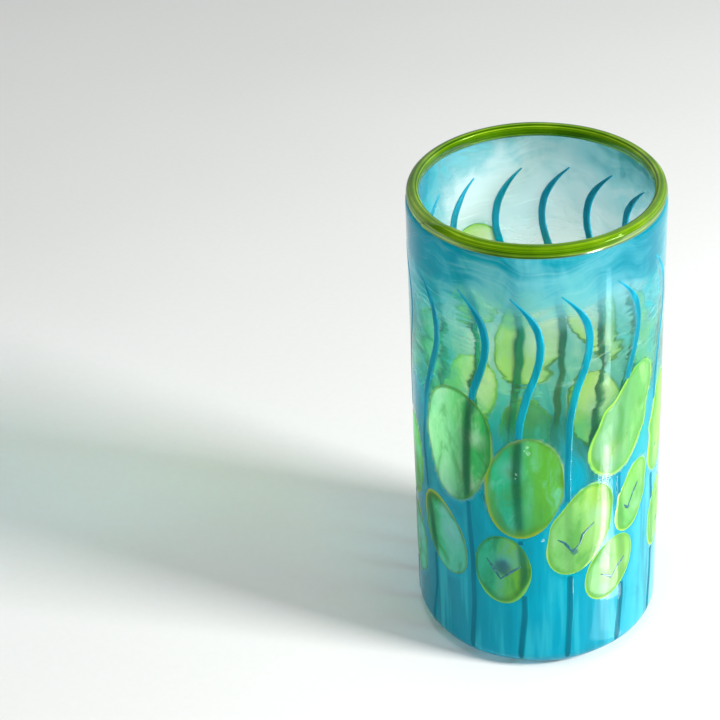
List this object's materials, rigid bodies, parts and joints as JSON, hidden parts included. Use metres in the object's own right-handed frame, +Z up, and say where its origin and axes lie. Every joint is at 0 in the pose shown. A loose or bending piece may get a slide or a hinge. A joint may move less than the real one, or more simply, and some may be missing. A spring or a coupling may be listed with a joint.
{
  "type": "hand blown glass vase",
  "caption": "Thick-walled cylindrical glass vase, open at the top, with flush inlaid glass stems and pads, a heavy rounded base and a rolled glass lip.",
  "frame": {"origin": "centre of the foot, on the surface that the vase stands on", "axes": "+Z up along the vase's axis, towards the mouth; -Y towards the front, the side with the broadest group of pads; +X to the right seen from the front"},
  "size_m": [0.127, 0.127, 0.255],
  "materials": {
    "body_glass": "polished transparent turquoise glass",
    "cane_glass": "polished teal glass",
    "pad_glass": "polished translucent lime glass",
    "wrap_glass": "polished streaky green glass"
  },
  "bodies": {
    "root": {"vase_body": "body_glass", "lip_wrap": "wrap_glass", "cane_01": "cane_glass", "cane_02": "cane_glass", "cane_03": "cane_glass", "cane_04": "cane_glass", "cane_05": "cane_glass", "cane_06": "cane_glass", "cane_07": "cane_glass", "cane_08": "cane_glass", "cane_09": "cane_glass", "cane_10": "cane_glass", "cane_11": "cane_glass", "cane_12": "cane_glass", "cane_13": "cane_glass", "cane_14": "cane_glass", "cane_15": "cane_glass", "pad_01": "pad_glass", "pad_02": "pad_glass", "pad_03": "pad_glass", "pad_04": "pad_glass", "pad_05": "pad_glass", "pad_06": "pad_glass", "pad_07": "pad_glass", "pad_08": "pad_glass", "pad_09": "pad_glass", "pad_10": "pad_glass", "pad_11": "pad_glass", "pad_12": "pad_glass", "pad_13": "pad_glass", "pad_14": "pad_glass", "pad_15": "pad_glass", "pad_16": "pad_glass", "pad_17": "pad_glass", "pad_18": "pad_glass", "pad_19": "pad_glass", "pad_20": "pad_glass", "pad_21": "pad_glass", "pad_22": "pad_glass"}
  },
  "joints": []
}
